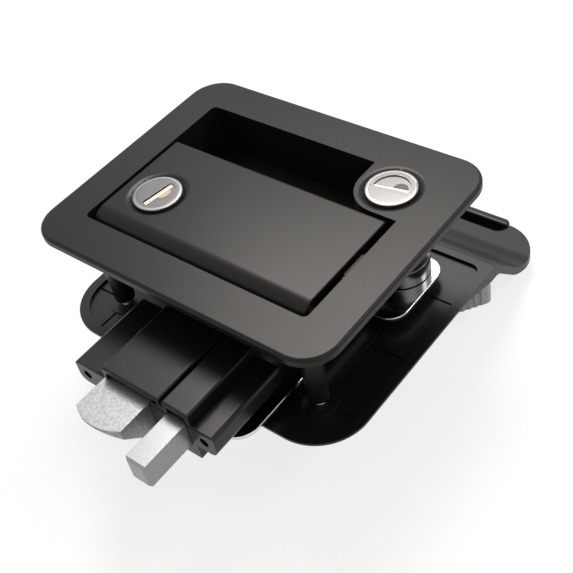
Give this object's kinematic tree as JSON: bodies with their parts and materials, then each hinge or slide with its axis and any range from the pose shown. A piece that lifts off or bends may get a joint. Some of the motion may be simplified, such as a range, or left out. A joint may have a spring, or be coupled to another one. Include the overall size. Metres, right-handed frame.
{
  "type": "door latch",
  "caption": "Recessed paddle latch for a caravan door, with slam latch bolt, keyed deadbolt, inner plate with pull wing, inner lever and thumb turn",
  "frame": {"origin": "middle of the flange's back face, which lies on the door's outer skin, over the middle of the door cut-out", "axes": "+Z leaves the door outwards, -Y is the way both bolts leave the door's edge, X runs along the paddle's hinge pin"},
  "size_m": [0.1254, 0.1761, 0.0658],
  "materials": {
    "black_casting": "satin black powder coat on zinc casting",
    "black_paddle": "satin black powder coat on zinc casting",
    "black_case": "satin black moulded nylon",
    "black_moulding": "satin black moulded nylon",
    "black_lever": "satin black moulded nylon",
    "black_plastic": "matt black acetal",
    "grey_knob": "satin light grey moulding",
    "lock_chrome": "bright plated rim",
    "lock_face": "satin nickel plated face",
    "zinc_bolt": "as-cast zinc with plated faces",
    "zinc_plate": "zinc plated pressed steel",
    "zinc_casting": "as-cast zinc",
    "bright_plate": "bright zinc plated steel sheet",
    "steel": "zinc plated steel",
    "spring_steel": "drawn spring wire"
  },
  "bodies": {
    "frame": {"outer_housing": "black_casting", "paddle_pin": "steel", "paddle_spring": "spring_steel", "deadbolt_lock_barrel": "lock_chrome", "deadbolt_lock_nut": "zinc_plate", "latch_case": "black_case", "case_lid": "black_case", "case_screws": "steel", "lid_screws": "steel", "latch_spring": "spring_steel", "base_plate": "bright_plate", "transfer_stud": "steel", "thumb_turn_bush": "black_plastic", "inner_plate": "black_moulding", "inner_lever_pin": "steel", "mounting_screws": "steel"},
    "paddle": {"paddle": "black_paddle", "paddle_lock_barrel": "lock_chrome", "paddle_lock_nut": "zinc_plate"},
    "paddle_plug": {"paddle_lock_plug": "lock_face", "paddle_lock_cam": "zinc_plate"},
    "latch": {"latch_bolt": "zinc_bolt", "latch_slide": "zinc_plate"},
    "transfer_lever": {"transfer_lever": "zinc_plate"},
    "inner_lever": {"inner_lever": "black_lever", "inner_lever_spring": "spring_steel"},
    "deadbolt": {"deadbolt": "zinc_bolt", "deadbolt_slide": "zinc_plate"},
    "turn": {"deadbolt_hub": "zinc_casting", "hub_spindle": "steel", "thumb_turn": "grey_knob"},
    "deadbolt_plug": {"deadbolt_lock_plug": "lock_face", "deadbolt_lock_tail": "zinc_plate"}
  },
  "joints": [
    {"name": "paddle_swing", "type": "hinge", "parent": "frame", "child": "paddle", "pos_m": [0, -0.0262, -0.0048], "axis": [1, 0, 0], "range_deg": [0, 45], "stiffness_Nm_per_rad": 0.2, "springref_deg": -34.38},
    {"name": "latch_bolt_slide", "type": "slide", "parent": "frame", "child": "latch", "axis": [0, 1, 0], "range_m": [0, 0.0155], "deforming": ["latch_spring"]},
    {"name": "transfer_lever_turn", "type": "hinge", "parent": "frame", "child": "transfer_lever", "pos_m": [-0.0137, 0.022, -0.0276], "axis": [0, 0, 1], "range_deg": [0, 60]},
    {"name": "inner_lever_swing", "type": "hinge", "parent": "frame", "child": "inner_lever", "pos_m": [0, 0.0161, -0.05125], "axis": [-1, 0, 0], "range_deg": [0, 20]},
    {"name": "paddle_plug_turn", "type": "hinge", "parent": "paddle", "child": "paddle_plug", "pos_m": [-0.0328, -0.0135, 0.003], "axis": [0, 0, -1], "range_deg": [0, 90]},
    {"name": "deadbolt_turn", "type": "hinge", "parent": "frame", "child": "turn", "pos_m": [0.0371, 0.0256, -0.03], "axis": [0, 0, -1], "range_deg": [0, 90]},
    {"name": "deadbolt_slide", "type": "slide", "parent": "frame", "child": "deadbolt", "axis": [0, 1, 0], "range_m": [0, 0.0186]},
    {"name": "deadbolt_plug_turn", "type": "hinge", "parent": "frame", "child": "deadbolt_plug", "pos_m": [0.0371, 0.0256, -0.03], "axis": [0, 0, -1], "range_deg": [0, 90]}
  ],
  "couplings": [
    {"joint": "latch_bolt_slide", "follows": "paddle_swing", "m_per_rad": 0.019735},
    {"joint": "transfer_lever_turn", "follows": "paddle_swing", "ratio": 1.3333},
    {"joint": "inner_lever_swing", "follows": "paddle_swing", "ratio": 0.44444},
    {"joint": "deadbolt_slide", "follows": "deadbolt_turn", "m_per_rad": 0.011841},
    {"joint": "deadbolt_plug_turn", "follows": "deadbolt_turn", "ratio": 1}
  ]
}
